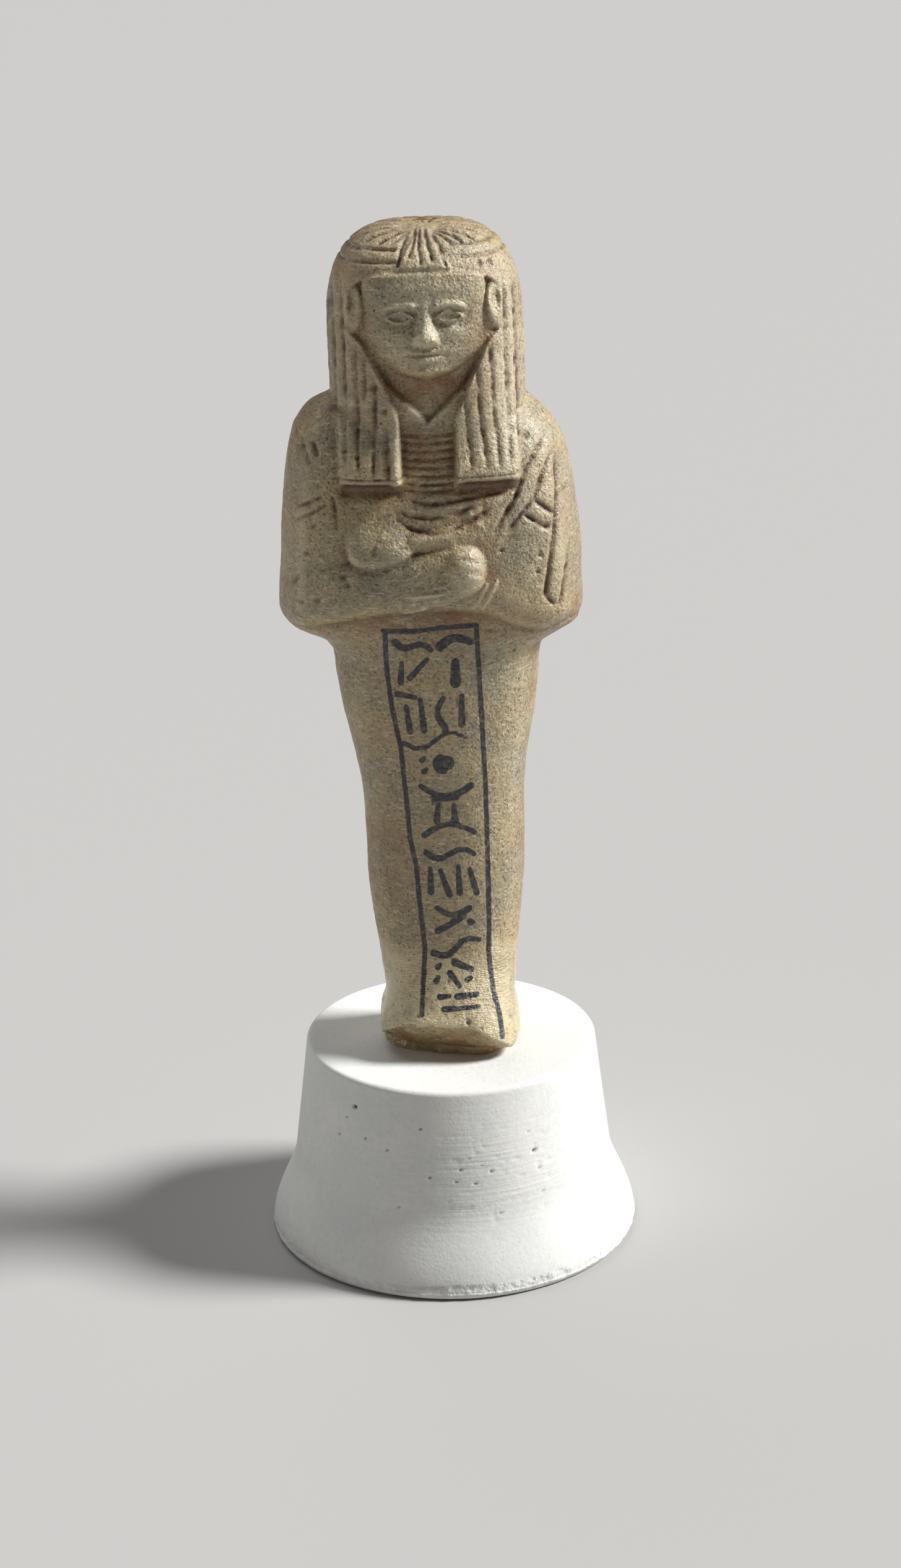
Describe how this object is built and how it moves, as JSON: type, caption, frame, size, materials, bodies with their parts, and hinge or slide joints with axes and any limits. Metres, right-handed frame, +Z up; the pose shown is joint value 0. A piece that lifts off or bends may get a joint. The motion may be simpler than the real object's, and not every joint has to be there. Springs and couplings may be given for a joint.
{
  "type": "ushabti figurine",
  "caption": "Moulded funerary figurine with a striated wig and folded arms, broken at the feet and glued upright on a round white plaster foot.",
  "frame": {"origin": "centre of the plaster stand's underside, where it rests on a table", "axes": "+Z up through the figurine; -Y is the way the face looks; +X is the viewer's right"},
  "size_m": [0.0544, 0.0544, 0.1499],
  "materials": {
    "glazed_composition": "satin",
    "white_plaster": "matte",
    "clear_adhesive": "gloss"
  },
  "bodies": {
    "root": {"ushabti_figure": "glazed_composition", "plaster_stand": "white_plaster", "adhesive_bed": "clear_adhesive"}
  },
  "joints": []
}
